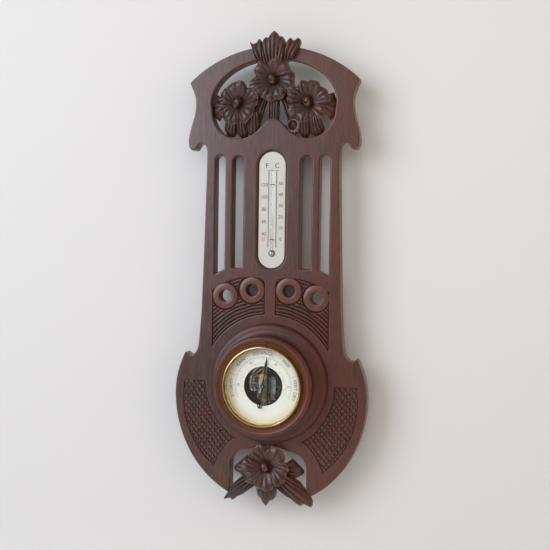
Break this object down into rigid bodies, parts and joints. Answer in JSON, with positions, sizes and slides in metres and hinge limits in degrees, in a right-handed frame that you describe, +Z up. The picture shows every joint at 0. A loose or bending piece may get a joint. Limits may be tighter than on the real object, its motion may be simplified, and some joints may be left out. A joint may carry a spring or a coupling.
{
  "type": "aneroid barometer",
  "caption": "Carved wooden wall aneroid barometer: pierced board with flower carvings, a slim thermometer set in the neck and a round open-centre dial in a turned boss.",
  "frame": {"origin": "centre of the hanger eye on the wall plane", "axes": "X to the right seen from the front, +Y into the wall, +Z up; the front faces -Y"},
  "size_m": [0.25, 0.057, 0.598],
  "materials": {
    "wood_board": "dark red-brown stain under worn varnish",
    "wood_turned": "dark red-brown varnish, lathe turned",
    "wood_carved": "dark stain, hand carved",
    "brass_bezel": "lacquered, slightly tarnished",
    "brass_works": "turned and filed",
    "steel_works": "plain steel",
    "iron_bridge": "blackened casting",
    "capsule_metal": "nickel silver, pressed rings",
    "blued_steel": "fire blued",
    "dial_white": "white printed face, satin",
    "scale_white": "white opal plate, printed",
    "front_glass": "clear, flat",
    "tube_glass": "clear drawn tube",
    "liquid": null
  },
  "bodies": {
    "barometer": {"backboard": "wood_board", "movement_boss": "wood_turned", "crest_foliage": "wood_carved", "crest_leaf_spray": "wood_carved", "crest_flower_centre": "wood_carved", "crest_flower_left": "wood_carved", "crest_flower_right": "wood_carved", "lower_leaf_spray": "wood_carved", "lower_flower": "wood_carved", "bezel": "brass_bezel", "reflector_ring": "brass_works", "movement_case": "brass_works", "base_spacers": "brass_works", "base_plate": "brass_works", "dial_pillars": "brass_works", "lever_bracket": "brass_works", "rocker_bracket": "brass_works", "bridge_pillars": "brass_works", "arbor_cock": "brass_works", "bridge_spacers": "brass_works", "arbor_bridge": "brass_works", "bridge_bush": "brass_works", "bridge_screws": "brass_works", "hanger_plate": "brass_works", "hanger_screws": "brass_works", "bezel_pins": "steel_works", "capsule_stem": "steel_works", "mainspring": "steel_works", "spring_screws": "steel_works", "pull_chain": "steel_works", "tube_staples": "steel_works", "mainspring_bridge": "iron_bridge", "vacuum_capsule": "capsule_metal", "hairspring": "blued_steel", "dial_plate": "dial_white", "thermometer_plate": "scale_white", "front_glass": "front_glass", "thermometer_tube": "tube_glass", "thermometer_liquid": "liquid"},
    "hand": {"indicator_hand": "blued_steel", "hand_arbor": "steel_works", "chain_pulley": "brass_works"},
    "rocker": {"rocker_arbor": "steel_works"},
    "lever": {"main_lever": "brass_works", "link_rod": "steel_works"},
    "regulator": {"adjusting_screw": "brass_works"}
  },
  "joints": [
    {"name": "hand_turn", "type": "hinge", "parent": "barometer", "child": "hand", "pos_m": [0, -0.045, -0.416], "axis": [0, 1, 0], "range_deg": [-75, 75], "deforming": ["pull_chain", "hairspring"]},
    {"name": "rocker_tilt", "type": "hinge", "parent": "barometer", "child": "rocker", "pos_m": [-0.032, -0.026, -0.416], "axis": [0, 0, 1], "range_deg": [-16, 16]},
    {"name": "lever_tilt", "type": "hinge", "parent": "barometer", "child": "lever", "pos_m": [0, -0.0285, -0.431], "axis": [1, 0, 0], "range_deg": [-4, 4]},
    {"name": "regulator_turn", "type": "hinge", "parent": "barometer", "child": "regulator", "pos_m": [0, -0.006, -0.4535], "axis": [0, 1, 0], "continuous": true}
  ],
  "couplings": [
    {"joint": "rocker_tilt", "follows": "hand_turn", "ratio": 0.2087},
    {"joint": "lever_tilt", "follows": "hand_turn", "ratio": -0.0522}
  ]
}
